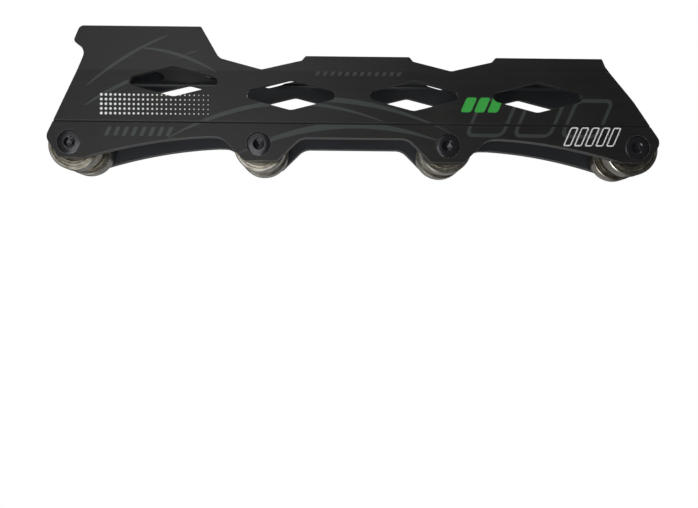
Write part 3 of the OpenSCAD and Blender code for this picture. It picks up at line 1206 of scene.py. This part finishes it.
@dataclass(frozen=True)
class Channel:
    """The extruded frame: its finish and the layout of its printed marks."""

    node: str = "frame"
    grey_marks: tuple[Mark, ...] = (
        Stroke((-112.0, 31.0), (-78.0, 51.5), bow=2.0, width=2.4),
        Stroke((-104.0, 24.0), (-66.0, 45.5), bow=2.6, width=2.2),
        Stroke((-113.0, 22.5), (-84.0, 37.0), bow=1.2, width=1.8),
        Stroke((-90.0, 46.5), (-58.0, 37.0), bow=2.2, width=1.8),
        Stroke((-78.0, 9.0), (12.0, 17.0), bow=11.0, width=2.6),
        Stroke((-70.0, 13.0), (40.0, 13.0), bow=13.0, width=2.2),
        Stroke((-48.0, 3.0), (36.0, 9.0), bow=9.0, width=3.0),
        Bars(start=-104.0, middle=11.8, count=8, pitch=3.7, width=1.7, height=3.8, corner=0.3),
        Bars(start=-16.0, middle=36.8, count=12, pitch=3.1, width=1.6, height=1.7, corner=0.3),
        Bars(
            start=50.0,
            middle=19.0,
            count=3,
            pitch=20.0,
            width=16.4,
            height=16.4,
            corner=3.4,
            fill=Fill.OUTLINE,
            line=1.5,
        ),
    )
    white_marks: tuple[Mark, ...] = (
        Halftone(start=-106.0, middle=23.2, columns=24, rows=5, pitch=1.95, first_r=0.58, last_r=0.2),
        Bars(
            start=89.8,
            middle=11.4,
            count=5,
            pitch=4.5,
            width=3.3,
            height=8.0,
            corner=0.9,
            fill=Fill.OUTLINE,
            line=0.55,
        ),
    )
    green_marks: tuple[Mark, ...] = (
        Bars(start=46.2, middle=24.3, count=3, pitch=5.6, width=4.4, height=6.2, corner=1.0),
    )

    def dress(self, nodes: Nodes) -> None:
        """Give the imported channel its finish.

        Args:
            nodes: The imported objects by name.
        """
        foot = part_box(self.node)[0].z / MM
        finish = Anodised("satin_anodised", foot, self.grey_marks, self.white_marks, self.green_marks)
        finish.coat(nodes[self.node])


@dataclass(frozen=True)
class Lamp:
    """A soft square lamp that faces the frame and isn't seen itself."""

    name: str
    place: Point
    size: float
    watts: float

    def hang(self, aim: Vector) -> None:
        """Add the lamp to the scene.

        Args:
            aim: Point that it faces, in millimetres.
        """
        light = bpy.data.lights.new(self.name, "AREA")
        light.size = self.size * MM
        light.energy = self.watts
        obj = bpy.data.objects.new(self.name, light)
        obj.location = Vector(self.place) * MM
        obj.rotation_euler = (Vector(self.place) - aim).to_track_quat("Z", "Y").to_euler()
        obj.visible_camera = False
        bpy.context.scene.collection.objects.link(obj)


@dataclass(frozen=True)
class Studio:
    """Floor, lamps, surrounding light and the camera of the main picture."""

    eye: Point = (-5.84, -342.0, -41.3)
    focal_px: float = 771.0
    axis_px: Spot = (338.0, 269.0)
    roll_deg: float = -0.6
    nearest: float = 10.0
    aim: Point = (-10.0, 0.0, 30.0)
    floor_size: float = 4000.0
    sky_strength: float = 1.45
    sky_deg: float = 50.0
    room_strength: float = 0.1
    lamps: tuple[Lamp, ...] = (
        Lamp("key_lamp", (-190.0, -600.0, 260.0), size=380.0, watts=0.35),
        Lamp("fill_lamp", (-170.0, -600.0, -30.0), size=260.0, watts=0.55),
        Lamp("low_lamp", (-130.0, -240.0, -270.0), size=300.0, watts=1.4),
        Lamp("back_lamp", (160.0, 620.0, 340.0), size=420.0, watts=6.0),
        Lamp("top_lamp", (0.0, 0.0, 1200.0), size=1200.0, watts=3.0),
        Lamp("sweep_lamp", (0.0, 640.0, -150.0), size=620.0, watts=0.3),
    )

    def build(self) -> None:
        """Set up everything around the part."""
        self.lay_floor()
        for lamp in self.lamps:
            lamp.hang(Vector(self.aim))
        self.hang_skylight()
        self.surround()
        self.stand_camera()
        bpy.context.scene.view_settings.view_transform = "Standard"

    def lay_floor(self) -> None:
        """Lay a plain square floor at height zero, no part of the object.

        It takes shadows, and blocks or throws back no light itself.
        """
        half = self.floor_size / 2 * MM
        mesh = bpy.data.meshes.new("floor")
        corners = [(-half, -half, 0.0), (half, -half, 0.0), (half, half, 0.0), (-half, half, 0.0)]
        mesh.from_pydata(corners, [], [[0, 1, 2, 3]])
        floor = bpy.data.objects.new("floor", mesh)
        bpy.context.scene.collection.objects.link(floor)
        floor.visible_shadow = floor.visible_diffuse = floor.visible_glossy = False
        PaleFloor("pale_floor").coat(floor)

    def hang_skylight(self) -> None:
        """Add a broad light from straight above, the same all over the floor."""
        light = bpy.data.lights.new("skylight", "SUN")
        light.energy = self.sky_strength
        light.angle = math.radians(self.sky_deg)
        bpy.context.scene.collection.objects.link(bpy.data.objects.new("skylight", light))

    def surround(self) -> None:
        """Put up white surroundings for the picture, with a dimmer light from them on the part."""
        world = bpy.data.worlds.new("white_room")
        bpy.context.scene.world = world
        world.use_nodes = True
        tree = world.node_tree
        tree.nodes.clear()
        path = tree.nodes.new("ShaderNodeLightPath")
        strength = Field(tree, path.outputs["Is Camera Ray"]).ramp(0.0, 1.0, self.room_strength, 1.0)
        background = tree.nodes.new("ShaderNodeBackground")
        background.inputs["Color"].default_value = (1.0, 1.0, 1.0, 1.0)
        feed(tree, background.inputs["Strength"], strength)
        output = tree.nodes.new("ShaderNodeOutputWorld")
        tree.links.new(background.outputs["Background"], output.inputs["Surface"])

    def stand_camera(self) -> None:
        """Stand the camera at the picture's own viewpoint and framing, looking along +Y."""
        data = bpy.data.cameras.new("main_camera")
        data.sensor_width = SENSOR_MM
        data.lens = self.focal_px / IMAGE_WIDTH * SENSOR_MM
        data.shift_x = (IMAGE_WIDTH / 2 - self.axis_px[0]) / IMAGE_WIDTH
        data.shift_y = (self.axis_px[1] - IMAGE_HEIGHT / 2) / IMAGE_WIDTH
        data.clip_start = self.nearest * MM
        camera = bpy.data.objects.new("main_camera", data)
        camera.location = Vector(self.eye) * MM
        camera.rotation_euler = (math.radians(90), math.radians(self.roll_deg), 0.0)
        bpy.context.scene.collection.objects.link(camera)
        bpy.context.scene.camera = camera


def main() -> None:
    """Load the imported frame, dress it and set up the studio."""
    logging.basicConfig(level=logging.INFO, format="%(name)s: %(message)s")
    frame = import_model()
    Studio().build()
    Channel().dress(frame["nodes"])
    Hardware(Stations.read()).build(frame["nodes"])


if __name__ == "__main__":
    main()
